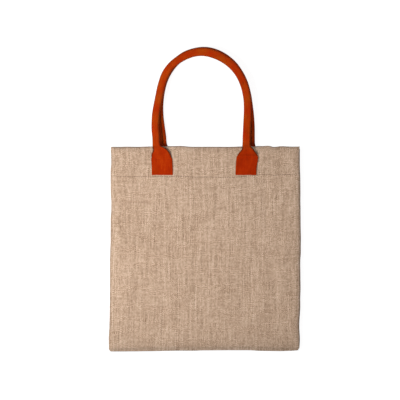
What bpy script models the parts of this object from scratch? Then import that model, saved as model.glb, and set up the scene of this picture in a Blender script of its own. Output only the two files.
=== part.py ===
"""Jute tote bag with two rolled suede handles, lying flat on its back.

Frame: +X across the bag, +Y from the bottom fold up to the handles, +Z out of the front.
The back lies on Z = 0, and the origin is under the middle of the whole object. All in metres.
"""

import math

import bmesh
import bpy
from mathutils import Vector

MM = 0.001

# Jute cloth
CLOTH = 1.5 * MM            # thickness
LAYER = 2.0 * MM            # from the middle of one folded layer to the middle of the next
GAP = 0.3 * MM              # between two pieces, or two layers that are sewn together

# Bag: outside sizes before its edges wander
BAG_WIDTH = 380 * MM
BAG_HEIGHT = 409 * MM       # bottom fold to mouth
BAG_DEPTH = 20 * MM         # front to back, at the middle
SEAM_HEIGHT = 7 * MM        # where the two halves meet along the sides
ALLOWANCE = 10 * MM         # side seam turned to the inside
HEM = 60 * MM               # mouth turned to the inside
FRONT_ROLL = 34 * MM        # how far in from a side the front is round
BACK_ROLL = 20 * MM
BOTTOM_ROLL = 28 * MM
HEM_EASE = 35 * MM          # below the hem, where the side grows thicker
HEM_FALL = 25 * MM          # past the side allowance, where the hem comes back onto the cloth
MOUTH_FOLD_ROOM = 5 * MM    # left plain for the mouth's fold

# Handles: a suede strip, open and flat at its ends, rolled between them
TUBE = 15 * MM
TAB = 2.8 * MM              # thickness of the flat end
TAB_WIDTH = 43 * MM
TAB_FOOT = 352 * MM         # height of the tab's lower edge
TAB_SHOULDER = 385 * MM     # above this the tab narrows and thickens
BACK_CENTRES = (-84 * MM, 92 * MM)
HUMP_FALL = 28 * MM         # how far the back takes to come down beside a tab
HUMP_MARGIN = 2 * MM
HUMP_RISE = 3.3 * MM        # lift of the back over a tab
HUMP_START = 24 * MM        # below a tab, where the back begins to rise
HUMP_CLIMB = 20 * MM
HUMP_MOUTH = 2.7 * MM       # more lift at the mouth, over the thicker part
DESCENT = 60 * MM           # above the mouth, where the front handle comes down onto the back one

FOLD_STEPS = 4              # faces round a fold of the cloth
BOTTOM_STEPS = 6
ROLL_SHARES = (0, 0.25, 0.5, 1)     # where a rolled edge has its rows of points
WIDEST_COLUMN = 15 * MM
TALLEST_ROW = 62 * MM
RING_POINTS = 16            # round a handle
TAB_SQUARE = 10             # 2 is an ellipse, and more is nearer to a rectangle

# Outline. Each row: height, then how far the left and right edges stand from true
SIDES = (
    {"up": 0 * MM, "left": -2.5 * MM, "right": -1.5 * MM},
    {"up": 50 * MM, "left": -1.5 * MM, "right": -1.2 * MM},
    {"up": 100 * MM, "left": -1.0 * MM, "right": 1.0 * MM},
    {"up": 200 * MM, "left": 0.5 * MM, "right": 2.0 * MM},
    {"up": 290 * MM, "left": 2.0 * MM, "right": 1.0 * MM},
    {"up": 370 * MM, "left": 1.8 * MM, "right": 0.2 * MM},
    {"up": 409 * MM, "left": 1.0 * MM, "right": 0.0 * MM},
)
# Each row: place across, then how far the bottom and the mouth stand from true
ENDS = (
    {"across": -190 * MM, "bottom": -1.4 * MM, "mouth": -0.6 * MM},
    {"across": -140 * MM, "bottom": -0.8 * MM, "mouth": -0.2 * MM},
    {"across": -70 * MM, "bottom": 0.0 * MM, "mouth": 1.2 * MM},
    {"across": 0 * MM, "bottom": 0.6 * MM, "mouth": -0.2 * MM},
    {"across": 45 * MM, "bottom": 1.3 * MM, "mouth": -0.2 * MM},
    {"across": 115 * MM, "bottom": 0.2 * MM, "mouth": 1.2 * MM},
    {"across": 190 * MM, "bottom": -0.4 * MM, "mouth": 0.6 * MM},
)

# Ends of the front handle, from the foot of each tab up to the round part
FRONT_LEFT = (
    {"up": 352 * MM, "left": -107.5 * MM, "right": -67.0 * MM, "thick": TAB},
    {"up": 372 * MM, "left": -108.2 * MM, "right": -65.8 * MM, "thick": TAB},
    {"up": 388 * MM, "left": -108.2 * MM, "right": -66.2 * MM, "thick": TAB},
    {"up": 396 * MM, "left": -106.4 * MM, "right": -72.0 * MM, "thick": 3.4 * MM},
    {"up": 403 * MM, "left": -105.6 * MM, "right": -76.5 * MM, "thick": 4.4 * MM},
    {"up": 409 * MM, "left": -105.5 * MM, "right": -85.5 * MM, "thick": 5.5 * MM},
    {"up": 414 * MM, "left": -105.5 * MM, "right": -89.6 * MM, "thick": 9.0 * MM},
    {"up": 419 * MM, "left": -105.5 * MM, "right": -90.3 * MM, "thick": 13.0 * MM},
)
FRONT_RIGHT = (
    {"up": 352 * MM, "left": 60.6 * MM, "right": 101.4 * MM, "thick": TAB},
    {"up": 366 * MM, "left": 59.6 * MM, "right": 103.0 * MM, "thick": TAB},
    {"up": 386 * MM, "left": 61.4 * MM, "right": 105.8 * MM, "thick": TAB},
    {"up": 396 * MM, "left": 65.0 * MM, "right": 101.4 * MM, "thick": 3.4 * MM},
    {"up": 403 * MM, "left": 70.6 * MM, "right": 95.4 * MM, "thick": 4.4 * MM},
    {"up": 409 * MM, "left": 73.0 * MM, "right": 90.2 * MM, "thick": 5.5 * MM},
    {"up": 414 * MM, "left": 73.7 * MM, "right": 89.0 * MM, "thick": 9.0 * MM},
    {"up": 419 * MM, "left": 74.0 * MM, "right": 89.0 * MM, "thick": 13.0 * MM},
)
# Shape of each end of the back handle, as half its width
BACK_END = (
    {"up": 352 * MM, "half": 21.0 * MM, "thick": TAB},
    {"up": 372 * MM, "half": 21.5 * MM, "thick": TAB},
    {"up": 387 * MM, "half": 21.0 * MM, "thick": TAB},
    {"up": 396 * MM, "half": 17.5 * MM, "thick": 3.4 * MM},
    {"up": 403 * MM, "half": 13.0 * MM, "thick": 4.4 * MM},
    {"up": 411 * MM, "half": 9.0 * MM, "thick": 5.5 * MM},
    {"up": 415 * MM, "half": 8.0 * MM, "thick": 9.0 * MM},
    {"up": 420 * MM, "half": 7.6 * MM, "thick": 13.0 * MM},
)
# Middle line of the round part of each handle, left to right
FRONT_ARCH = (
    {"across": -98.2 * MM, "up": 426 * MM},
    {"across": -99.6 * MM, "up": 452 * MM},
    {"across": -97.6 * MM, "up": 484 * MM},
    {"across": -90.4 * MM, "up": 518 * MM},
    {"across": -79.0 * MM, "up": 552 * MM},
    {"across": -54.6 * MM, "up": 581 * MM},
    {"across": -8.0 * MM, "up": 597 * MM},
    {"across": 40.0 * MM, "up": 581 * MM},
    {"across": 69.0 * MM, "up": 551 * MM},
    {"across": 82.0 * MM, "up": 518 * MM},
    {"across": 85.0 * MM, "up": 488 * MM},
    {"across": 83.6 * MM, "up": 454 * MM},
    {"across": 82.0 * MM, "up": 426 * MM},
)
BACK_ARCH = (
    {"across": -85.4 * MM, "up": 428 * MM},
    {"across": -90.0 * MM, "up": 456 * MM},
    {"across": -92.2 * MM, "up": 484 * MM},
    {"across": -89.0 * MM, "up": 518 * MM},
    {"across": -78.4 * MM, "up": 552 * MM},
    {"across": -54.0 * MM, "up": 583 * MM},
    {"across": -6.0 * MM, "up": 600 * MM},
    {"across": 43.0 * MM, "up": 583 * MM},
    {"across": 72.0 * MM, "up": 552 * MM},
    {"across": 84.6 * MM, "up": 518 * MM},
    {"across": 88.8 * MM, "up": 484 * MM},
    {"across": 91.4 * MM, "up": 456 * MM},
    {"across": 92.0 * MM, "up": 428 * MM},
)
ARCH_STEPS = 3              # rings between two rows of a handle's middle line

# Sizes that follow from those above
HALF_CLOTH = CLOTH / 2
REACH = BAG_WIDTH / 2 - HALF_CLOTH              # middle of the cloth at a side fold
FOLD = LAYER / 2                                # radius of a flat fold
FACE_REACH = REACH - FOLD                       # where the side fold starts
MOUTH = BAG_HEIGHT - HALF_CLOTH
FRONT_HEIGHT = BAG_DEPTH - HALF_CLOTH
BACK_HEIGHT = HALF_CLOTH
FRONT_SEAM = SEAM_HEIGHT + (CLOTH + GAP) / 2    # middle of the front's allowance
BACK_SEAM = SEAM_HEIGHT - (CLOTH + GAP) / 2
BOTTOM_FOLD = FRONT_SEAM + LAYER - SEAM_HEIGHT  # radius of the bottom fold
HEM_START = BAG_HEIGHT - HEM
ALLOWANCE_END = BAG_WIDTH / 2 - ALLOWANCE
FOOT = BOTTOM_FOLD + HALF_CLOTH                 # where the bottom fold ends
ORIGIN_ACROSS = (min(row["left"] for row in SIDES) + max(row["right"] for row in SIDES)) / 2
LOWEST = min(row["bottom"] for row in ENDS)
HIGHEST = max(row["up"] for row in BACK_ARCH) + TUBE / 2
ORIGIN_UP = (LOWEST + HIGHEST) / 2


def smooth(share):
    """0 below 0, 1 above 1, and a soft step between."""
    share = min(max(share, 0.0), 1.0)
    return share * share * (3 - 2 * share)


def read(table, key, at, column):
    """A column of a table at a place along its key, eased from row to row."""
    if at <= table[0][key]:
        return table[0][column]
    for low, high in zip(table, table[1:]):
        if at <= high[key]:
            share = smooth((at - low[key]) / (high[key] - low[key]))
            return low[column] + (high[column] - low[column]) * share
    return table[-1][column]


def placed(across, up, height):
    """A point of the bag with its outline's unevenness, in the object's frame."""
    from_left = across / BAG_WIDTH + 0.5
    left = read(SIDES, "up", up, "left")
    right = read(SIDES, "up", up, "right")
    from_bottom = up / BAG_HEIGHT
    bottom = read(ENDS, "across", across, "bottom")
    mouth = read(ENDS, "across", across, "mouth")
    return Vector((
        across + left + (right - left) * from_left - ORIGIN_ACROSS,
        up + bottom + (mouth - bottom) * from_bottom - ORIGIN_UP,
        height,
    ))


def stations(breaks, longest):
    """The breaks, with the longer stretches between them divided evenly."""
    found = [breaks[0]]
    for low, high in zip(breaks, breaks[1:]):
        steps = max(1, math.ceil((high - low) / longest - 1e-9))
        found += [low + (high - low) * k / steps for k in range(1, steps + 1)]
    return found


def thicker(up):
    """One more layer of cloth at the sides once the hem has begun."""
    return LAYER * smooth((up - HEM_START + HEM_EASE) / HEM_EASE)


def flatness(across, up, roll):
    """0 at the sides and the bottom fold, 1 where the bag is flat."""
    side = smooth((FACE_REACH - abs(across)) / roll)
    return side * smooth((up - FOOT) / BOTTOM_ROLL)


def front_face(across, up):
    edge = FRONT_SEAM + LAYER + thicker(up)
    return edge + (FRONT_HEIGHT - edge) * flatness(across, up, FRONT_ROLL)


def hump(across, up):
    """How far the back handle's tabs lift the back."""
    rise = HUMP_RISE * smooth((up - TAB_FOOT + HUMP_START) / HUMP_CLIMB)
    rise += HUMP_MOUTH * smooth((up - TAB_SHOULDER) / (MOUTH - TAB_SHOULDER))
    flat = TAB_WIDTH / 2 + HUMP_MARGIN
    beside = min(abs(across - centre) for centre in BACK_CENTRES)
    return rise * smooth((flat + HUMP_FALL - beside) / HUMP_FALL)


def back_face(across, up):
    edge = BACK_SEAM - LAYER - thicker(up)
    flat = flatness(across, up, BACK_ROLL)
    return edge + (BACK_HEIGHT - edge) * flat + hump(across, up)


def over_allowance(across):
    """0 where the hem passes the side seam's allowance, 1 where it lies on the cloth again."""
    clear = 3 * MM
    return smooth((ALLOWANCE_END - clear - abs(across)) / HEM_FALL)


def front_hem(across, up):
    stack = front_face(FACE_REACH, up) - 2 * LAYER
    return stack + (FRONT_HEIGHT - LAYER - stack) * over_allowance(across)


def back_hem(across, up):
    stack = back_face(FACE_REACH, up) + 2 * LAYER
    return stack + (BACK_HEIGHT + LAYER - stack) * over_allowance(across) + hump(across, up)


def columns():
    """Places across the bag where the cloth has a row of points."""
    breaks = {0.0}
    for side in (-1, 1):
        breaks |= {side * (FACE_REACH - FRONT_ROLL * share) for share in ROLL_SHARES}
    for centre in BACK_CENTRES:
        flat = TAB_WIDTH / 2 + HUMP_MARGIN
        breaks |= {centre + flat * side for side in (-1, 1)}
        breaks |= {centre + (flat + HUMP_FALL) * side for side in (-1, 1)}
    return stations(sorted(breaks), WIDEST_COLUMN)


def face_rows():
    """Heights where the cloth has a row of points, from the bottom fold to near the mouth."""
    breaks = [FOOT + BOTTOM_ROLL * share for share in ROLL_SHARES]
    breaks += [HEM_START - HEM_EASE, TAB_FOOT - HUMP_START / 2, HEM_START]
    breaks += [TAB_SHOULDER, (TAB_SHOULDER + MOUTH) / 2, MOUTH - MOUTH_FOLD_ROOM]
    return stations(breaks, TALLEST_ROW)


def hem_rows(rows):
    """The heights that the hem reaches down to."""
    return [up for up in rows if up > HEM_START - MM]


def fold_line(across, top_of, under_of):
    """Points of the mouth's fold at one place across, from the outer layer to the inner one."""
    top = top_of(across, MOUTH)
    under = under_of(across, MOUTH)
    radius = (top - under) / 2
    points = []
    for step in range(FOLD_STEPS + 1):
        angle = math.pi * step / FOLD_STEPS
        up = MOUTH - abs(radius) * (1 - math.sin(angle))
        points.append(placed(across, up, (top + under) / 2 + radius * math.cos(angle)))
    return points


def strip_line(across, rows):
    """The cloth's middle at one place across: hem, front, bottom fold, back, hem."""
    line = [placed(across, up, front_hem(across, up)) for up in hem_rows(rows)]
    line += fold_line(across, front_face, front_hem)[::-1]
    line += [placed(across, up, front_face(across, up)) for up in reversed(rows)]
    for step in range(1, BOTTOM_STEPS):
        angle = math.pi * step / BOTTOM_STEPS
        up = FOOT - BOTTOM_FOLD * math.sin(angle)
        line.append(placed(across, up, SEAM_HEIGHT + BOTTOM_FOLD * math.cos(angle)))
    line += [placed(across, up, back_face(across, up)) for up in rows]
    line += fold_line(across, back_face, back_hem)
    line += [placed(across, up, back_hem(across, up)) for up in reversed(hem_rows(rows))]
    return line


def seam_line(side, up, face_of, turn):
    """The side seam's fold and allowance at one height, from the edge of the face inwards."""
    edge = face_of(FACE_REACH, up)
    points = []
    for step in range(1, FOLD_STEPS + 1):
        angle = math.pi * step / FOLD_STEPS
        across = FACE_REACH + FOLD * math.sin(angle)
        points.append(placed(side * across, up, edge + turn * FOLD * (1 - math.cos(angle))))
    points.append(placed(side * ALLOWANCE_END, up, edge + turn * LAYER))
    return points


def material(name, colour, roughness):
    made = bpy.data.materials.new(name)
    made.use_nodes = True
    shader = made.node_tree.nodes["Principled BSDF"]
    shader.inputs["Base Color"].default_value = (*colour, 1)
    shader.inputs["Roughness"].default_value = roughness
    shader.inputs["Metallic"].default_value = 0
    return made


def piece(name, mesh, look):
    mesh.materials.append(look)
    made = bpy.data.objects.new(name, mesh)
    bpy.context.scene.collection.objects.link(made)
    return made


def quads(shape, first, second):
    """Faces between two rows of vertices with as many points each."""
    for k in range(len(first) - 1):
        shape.faces.new((first[k], first[k + 1], second[k + 1], second[k]))


def bag_body(look):
    """One strip of jute: hem, front, bottom fold, back, hem, with its side seams turned in."""
    shape = bmesh.new()
    rows = face_rows()
    lines = [[shape.verts.new(p) for p in strip_line(x, rows)] for x in columns()]
    for first, second in zip(lines, lines[1:]):
        quads(shape, first, second)
    front_start = len(hem_rows(rows)) + FOLD_STEPS + 1
    back_start = front_start + len(rows) + BOTTOM_STEPS - 1
    for side, line in ((-1, lines[0]), (1, lines[-1])):
        front_edge = line[front_start:front_start + len(rows)][::-1]
        back_edge = line[back_start:back_start + len(rows)]
        for edge, face_of, turn in ((front_edge, front_face, -1), (back_edge, back_face, 1)):
            seams = []
            for start, up in zip(edge, rows):
                points = seam_line(side, up, face_of, turn)
                seams.append([start] + [shape.verts.new(p) for p in points])
            for first, second in zip(seams, seams[1:]):
                quads(shape, first, second)
    bmesh.ops.recalc_face_normals(shape, faces=shape.faces)
    mesh = bpy.data.meshes.new("bag_body")
    shape.to_mesh(mesh)
    shape.free()
    mesh.shade_smooth()
    made = piece("bag_body", mesh, look)
    thickness = made.modifiers.new("cloth", "SOLIDIFY")
    thickness.thickness = CLOTH
    thickness.offset = 0
    thickness.use_even_offset = True
    return made


def smooth_route(rows, steps):
    """Points and directions along a curve through the rows of a handle's middle line."""
    points = [Vector((row["across"], row["up"], 0)) for row in rows]
    before = points[0] * 2 - points[1]
    after = points[-1] * 2 - points[-2]
    ends = [before] + points + [after]
    slopes = [(ends[k + 1] - ends[k - 1]) / 2 for k in range(1, len(ends) - 1)]
    route = []
    for k in range(len(points) - 1):
        for step in range(steps + (k == len(points) - 2)):
            t = step / steps
            here = points[k] * (2 * t**3 - 3 * t**2 + 1)
            here += slopes[k] * (t**3 - 2 * t**2 + t)
            here += points[k + 1] * (3 * t**2 - 2 * t**3)
            here += slopes[k + 1] * (t**3 - t**2)
            heading = points[k] * (6 * t**2 - 6 * t)
            heading += slopes[k] * (3 * t**2 - 4 * t + 1)
            heading += points[k + 1] * (6 * t - 6 * t**2)
            heading += slopes[k + 1] * (3 * t**2 - 2 * t)
            route.append((here, heading.normalized()))
    return route


def ring(middle, sideways, half_width, half_thick, square):
    """Points round a handle, flat above and below. square is 2 for a round one and more for a strip."""
    flat = math.cos(math.pi / RING_POINTS) ** (2 / square)
    points = []
    for step in range(RING_POINTS):
        angle = 2 * math.pi * (step + 0.5) / RING_POINTS
        out = math.copysign(abs(math.cos(angle)) ** (2 / square) / flat, math.cos(angle))
        rise = math.copysign(abs(math.sin(angle)) ** (2 / square) / flat, math.sin(angle))
        points.append(middle + sideways * half_width * out + Vector((0, 0, half_thick * rise)))
    return points


def tab_rings(rows, sideways, underside):
    """Rings up one end of a handle, from the foot of its tab to where it is nearly round."""
    rings = []
    for row in rows:
        half_width = (row["right"] - row["left"]) / 2
        flat = 1 - (row["thick"] - TAB) / (TUBE - TAB)
        middle = Vector((
            (row["left"] + row["right"]) / 2 - ORIGIN_ACROSS,
            row["up"] - ORIGIN_UP,
            underside(row["up"]) + row["thick"] / 2,
        ))
        square = 2 + (TAB_SQUARE - 2) * flat**2
        rings.append(ring(middle, sideways, half_width, row["thick"] / 2, square))
    return rings


def handle(name, left, right, arch, underside, look):
    """One strip of suede: flat tab, rolled handle, flat tab."""
    rings = tab_rings(left, Vector((1, 0, 0)), underside)
    for here, heading in smooth_route(arch, ARCH_STEPS):
        middle = here + Vector((-ORIGIN_ACROSS, -ORIGIN_UP, underside(here.y) + TUBE / 2))
        sideways = Vector((heading.y, -heading.x, 0))
        rings.append(ring(middle, sideways, TUBE / 2, TUBE / 2, 2))
    rings += tab_rings(right, Vector((-1, 0, 0)), underside)[::-1]
    shape = bmesh.new()
    loops = [[shape.verts.new(p) for p in points] for points in rings]
    for first, second in zip(loops, loops[1:]):
        quads(shape, first + first[:1], second + second[:1])
    shape.faces.new(loops[0])
    shape.faces.new(loops[-1][::-1])
    bmesh.ops.recalc_face_normals(shape, faces=shape.faces)
    mesh = bpy.data.meshes.new(name)
    shape.to_mesh(mesh)
    shape.free()
    mesh.shade_smooth()
    mesh.set_sharp_from_angle(angle=math.radians(50))
    return piece(name, mesh, look)


def front_underside(up):
    """The front handle lies on the front, then comes down onto the back handle."""
    on_bag = BAG_DEPTH + GAP
    on_handle = TUBE + GAP
    return on_bag + (on_handle - on_bag) * smooth((up - BAG_HEIGHT) / DESCENT)


def back_underside(up):
    return 0.0


def back_tab(centre):
    return [
        {
            "up": row["up"],
            "left": centre - row["half"],
            "right": centre + row["half"],
            "thick": row["thick"],
        }
        for row in BACK_END
    ]


for old in list(bpy.data.objects):
    bpy.data.objects.remove(old)

jute = material("jute", (0.50, 0.35, 0.25), 0.95)
suede = material("rust_suede", (0.42, 0.04, 0.002), 0.85)
bag_body(jute)
handle("handle_front", FRONT_LEFT, FRONT_RIGHT, FRONT_ARCH, front_underside, suede)
left_end, right_end = (back_tab(centre) for centre in BACK_CENTRES)
handle("handle_back", left_end, right_end, BACK_ARCH, back_underside, suede)
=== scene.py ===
"""A jute tote bag with two rolled suede handles, lying flat on its back.

Made in the order that such a bag is: the jute body, the stitching of its hem, the front
handle, the back handle, then the table that it lies on, the lights and the camera.
+X is across the bag, +Y runs from its bottom fold up to the handles, and +Z out of its front.
"""

import math

import bmesh
import bpy
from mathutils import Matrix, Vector
from mathutils import noise as lattice


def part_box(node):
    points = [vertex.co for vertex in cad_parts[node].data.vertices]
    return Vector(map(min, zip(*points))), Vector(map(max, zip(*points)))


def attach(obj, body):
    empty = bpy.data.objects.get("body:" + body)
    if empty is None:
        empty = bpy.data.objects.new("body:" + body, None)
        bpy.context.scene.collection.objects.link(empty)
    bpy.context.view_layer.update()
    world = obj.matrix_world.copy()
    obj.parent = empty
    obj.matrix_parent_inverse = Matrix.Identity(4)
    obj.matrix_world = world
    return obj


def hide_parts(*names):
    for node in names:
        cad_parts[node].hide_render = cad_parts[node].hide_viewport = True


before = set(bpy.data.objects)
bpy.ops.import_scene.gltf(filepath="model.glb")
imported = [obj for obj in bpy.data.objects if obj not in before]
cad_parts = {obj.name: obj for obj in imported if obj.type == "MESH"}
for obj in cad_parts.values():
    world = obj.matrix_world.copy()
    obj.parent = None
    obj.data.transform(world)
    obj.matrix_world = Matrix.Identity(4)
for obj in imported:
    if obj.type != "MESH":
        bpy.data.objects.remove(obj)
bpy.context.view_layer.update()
MM = 0.001

# ---------------------------------------------------------------------------------------
# Bag body. One strip of plain-woven jute, folded at the bottom and sewn up both sides
# inside out. Its mouth is turned in and stitched down, and it keeps a few soft creases
# from lying folded in a stack.

CLOTH = 1.5 * MM            # thickness
LAYER = 2.0 * MM            # from the middle of one folded layer to the middle of the next
GAP = 0.3 * MM              # between layers that are sewn together

BAG_WIDTH = 380 * MM
BAG_HEIGHT = 409 * MM       # bottom fold to mouth
BAG_DEPTH = 20 * MM         # front to back, at the middle
SEAM_HEIGHT = 7 * MM        # where front and back meet along the sides
ALLOWANCE = 10 * MM         # side seam turned to the inside
HEM = 64 * MM               # mouth turned to the inside
FRONT_ROLL = 34 * MM        # how far in from a side the front is round
BACK_ROLL = 20 * MM
BOTTOM_ROLL = 28 * MM
LEFT_FULLNESS = 3.2         # how squarely the sides are filled: 2 is a quarter circle
RIGHT_FULLNESS = 4.6
HEM_EASE = 35 * MM          # below the hem, where the side grows thicker
HEM_FALL = 25 * MM          # past the side allowance, where the hem comes back onto the cloth
HEM_CLEAR = 3 * MM          # from the allowance's edge to where it begins to
MOUTH_FOLD_ROOM = 5 * MM    # left plain for the mouth's fold
CORNER = 5 * MM             # radius of the two bottom corners

# Handle tabs, which the cloth is flat under
TAB_FOOT = 352 * MM
TAB_WIDTH = 43 * MM
TAB_REST = 8 * MM           # around a tab, where the cloth goes back to its own shape
FRONT_CENTRES = (-87 * MM, 82 * MM)
BACK_CENTRES = (-84 * MM, 92 * MM)
HUMP_FALL = 28 * MM         # how far the back takes to come down beside a tab
HUMP_MARGIN = 2 * MM
HUMP_RISE = 3.3 * MM        # lift of the back over a tab
HUMP_START = 24 * MM        # below a tab, where the back begins to rise
HUMP_CLIMB = 20 * MM
HUMP_MOUTH = 2.7 * MM       # more lift over the tab's folded shoulders
HUMP_SHOULDER = 378 * MM
HUMP_NECK = 395 * MM


def rows_of(columns, *rows):
    """A table: each row's sizes, given in millimetres, by the names of its columns."""
    return [dict(zip(columns.split(), [size * MM for size in row])) for row in rows]


# Outline: at each height, how far the left and right edges stand from true
SIDES = rows_of(
    "up left right",
    (0, -3.4, -1.6), (25, -3.7, -0.3), (50, -2.0, -1.3), (88, -1.2, 0.3), (104, -1.0, 0.1),
    (128, -0.9, 0.9), (155, -1.2, 1.0), (180, -1.3, 0.8), (200, -0.3, 1.8), (226, 0.3, 1.8),
    (262, 0.1, 1.4), (284, 1.9, 1.3), (298, 1.8, 0.9), (313, 0.7, 0.9), (345, 0.4, 0.4),
    (361, 0.5, 0.1), (377, 1.7, -0.6), (393, 1.5, -0.8), (409, 0.1, -0.2),
)
# At each place across, how far the bottom and the mouth stand from true
ENDS = rows_of(
    "across bottom mouth",
    (-190, -1.6, -0.4), (-165, -1.5, -1.3), (-140, -1.3, -1.9), (-110, -0.9, -1.2),
    (-70, -0.2, -0.2), (-50, 0.2, 0.3), (-25, 0.0, -1.4), (0, 0.7, -1.5), (45, 1.0, -1.9),
    (90, 1.0, -0.9), (115, -0.3, -0.2), (126, -0.4, 0.6), (138, -0.6, -2.0),
    (152, -0.8, -0.3), (170, -0.2, -0.5), (190, 0.8, 0.3),
)
# The hem's row of stitches wanders a little: its height, and how deep it pulls the cloth in
HEM_LINE = rows_of(
    "across up pull",
    (-190, 351.0, 0.9), (-100, 349.6, 0.9), (-20, 349.2, 1.7), (60, 349.0, 1.7),
    (112, 352.6, 1.3), (190, 354.0, 1.1),
)
# How much further up the back's mouth stands than the front's
MOUTH_LEAD = rows_of(
    "across up",
    (-190, 0.0), (-150, 1.6), (-40, 1.0), (40, 1.5), (150, 1.3), (190, 0.0),
)
# Creases of the front, in millimetres: both ends of the line that each follows, half its width,
# how far it rises, and how far past each end of its line it fades out
CREASES = (
    ((-190, 300), (-120, 301), 4.2, -2.4, 46),
    ((-188, 289), (-150, 290), 10, 0.4, 40),
    ((-99, 172), (-94, 184), 44, 1.5, 40),
    ((121, 250), (120, 330), 9, -0.9, 22),
    ((56, 284), (104, 284), 5, -0.5, 26),
    ((0, 178), (56, 192), 14, -0.8, 30),
    ((-82, 30), (-84, 98), 8, -0.6, 26),
    ((-3, 26), (-2, 84), 8, -0.6, 24),
    ((86, 60), (70, 128), 16, -0.8, 34),
    ((-158, 60), (-150, 130), 18, 0.7, 40),
    ((-60, 244), (-20, 262), 22, 0.7, 36),
    ((150, 120), (160, 230), 14, 0.6, 40),
)
CREASE_WANDER = 1.4         # how far a crease strays from its line, in millimetres
CREASE_BEND = 17            # and the length over which it does
# Gentle unevenness of the front and of the side seams: length of a wave, and its height
SWELLS = rows_of("wave rise", (96, 0.9), (41, 0.35))
EDGE_WAVES = rows_of("wave rise", (74, 0.7), (27, 0.4))
EDGE_RELIEF = 0.25          # share of the front's relief that is left at its edges
HEM_STEP = 1.0 * MM         # the front is this much lower below its doubled hem
HEM_STEP_RUN = 6 * MM
MOUTH_DROOP = 3.8 * MM      # the hem's fold turns down a little
MOUTH_DROOP_RUN = 12 * MM
TAB_HOLD = 0.6              # how much of that a tab's stiff suede holds back
TROUGH_HALF = 4.5 * MM      # half width of the groove along the stitches
TROUGH_WAVE = 13 * MM       # over which it grows deeper and shallower

FOLD_STEPS = 6              # faces round a fold of the cloth
BOTTOM_STEPS = 8
COARSE = 3.5 * MM           # between rows of points on the flat
FINE = 2.4 * MM             # where the cloth is round
FINEST = 1.3 * MM           # at a crease
SHARPEST = 0.6 * MM         # in the narrow band beside a side fold
EDGE_BAND = 3 * MM
CREASE_FOOT = 294 * MM      # the deepest crease lies between these heights
CREASE_HEAD = 306 * MM
GROOVE_ROOM = 4 * MM        # above the tabs' feet, to the top of the stitches' groove

HALF_CLOTH = CLOTH / 2
REACH = BAG_WIDTH / 2 - HALF_CLOTH              # middle of the cloth at a side fold
FOLD = LAYER / 2                                # radius of a flat fold
FACE_REACH = REACH - FOLD                       # where the side fold starts
MOUTH = BAG_HEIGHT - HALF_CLOTH
FRONT_HEIGHT = BAG_DEPTH - HALF_CLOTH
BACK_HEIGHT = HALF_CLOTH
FRONT_SEAM = SEAM_HEIGHT + (CLOTH + GAP) / 2    # middle of the front's allowance
BACK_SEAM = SEAM_HEIGHT - (CLOTH + GAP) / 2
BOTTOM_FOLD = FRONT_SEAM + LAYER - SEAM_HEIGHT  # radius of the bottom fold
HEM_START = BAG_HEIGHT - HEM
ALLOWANCE_END = BAG_WIDTH / 2 - ALLOWANCE
FOOT = BOTTOM_FOLD + HALF_CLOTH                 # where the bottom fold ends
HANDLE_TOP = 607.5 * MM                         # of the back handle, above the bottom fold
ORIGIN_ACROSS = -0.25 * MM                      # middle of the whole outline
ORIGIN_UP = HANDLE_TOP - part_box("handle_back")[1].y


def smooth(share):
    """0 below 0, 1 above 1, and a soft step between."""
    share = min(max(share, 0.0), 1.0)
    return share * share * (3 - 2 * share)


def read(table, key, at, column):
    """A column of a table at a place along its key, eased from row to row."""
    if at <= table[0][key]:
        return table[0][column]
    for low, high in zip(table, table[1:]):
        if at <= high[key]:
            share = smooth((at - low[key]) / (high[key] - low[key]))
            return low[column] + (high[column] - low[column]) * share
    return table[-1][column]


def waves(rows, across, up, start):
    """Uneven waves: a sum of soft noise, one for each row of wave length and height."""
    place = Vector((across, up, 0))
    return sum(
        row["rise"] * lattice.noise(place / row["wave"] + Vector((0, 0, start + 7.3 * k)))
        for k, row in enumerate(rows)
    )


def rounded(across, up):
    """The bottom corners drawn in to a quarter circle."""
    out = abs(across) - (BAG_WIDTH / 2 - CORNER)
    down = CORNER - up
    if out <= 0 or down <= 0:
        return across, up
    drawn = max(out, down) / math.hypot(out, down)
    side = math.copysign(BAG_WIDTH / 2 - CORNER + out * drawn, across)
    return side, CORNER - down * drawn


def placed(across, up, height):
    """A point of the bag with its outline's unevenness, in the object's frame."""
    from_left = across / BAG_WIDTH + 0.5
    left = read(SIDES, "up", up, "left") + waves(EDGE_WAVES, 0, up, 3.7)
    right = read(SIDES, "up", up, "right") + waves(EDGE_WAVES, 0, up, 9.1)
    from_bottom = up / BAG_HEIGHT
    bottom = read(ENDS, "across", across, "bottom")
    mouth = read(ENDS, "across", across, "mouth")
    side, level = rounded(across, up)
    return Vector((
        side + left + (right - left) * from_left - ORIGIN_ACROSS,
        level + bottom + (mouth - bottom) * from_bottom - ORIGIN_UP,
        height,
    ))


def stations(breaks):
    """Places from each (place, longest step) to the next, evenly divided."""
    found = [breaks[0][0]]
    for (low, longest), (high, _) in zip(breaks, breaks[1:]):
        steps = max(1, math.ceil((high - low) / longest - 1e-9))
        found += [low + (high - low) * k / steps for k in range(1, steps + 1)]
    return found


def thicker(up):
    """One more layer of cloth at the sides once the hem has begun."""
    return LAYER * smooth((up - HEM_START + HEM_EASE) / HEM_EASE)


def round_over(share, sharpness):
    """0 at an edge, rising round it to 1: a quarter circle for 2, squarer for more."""
    inward = 1 - min(max(share, 0.0), 1.0)
    return (1 - inward**sharpness) ** (1 / sharpness)


def flatness(across, up, roll):
    """0 at the sides and the bottom fold, 1 where the bag is flat."""
    fullness = LEFT_FULLNESS if across < 0 else RIGHT_FULLNESS
    side = round_over((FACE_REACH - abs(across)) / roll, fullness)
    return side * round_over((up - FOOT) / BOTTOM_ROLL, 2.0)


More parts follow.
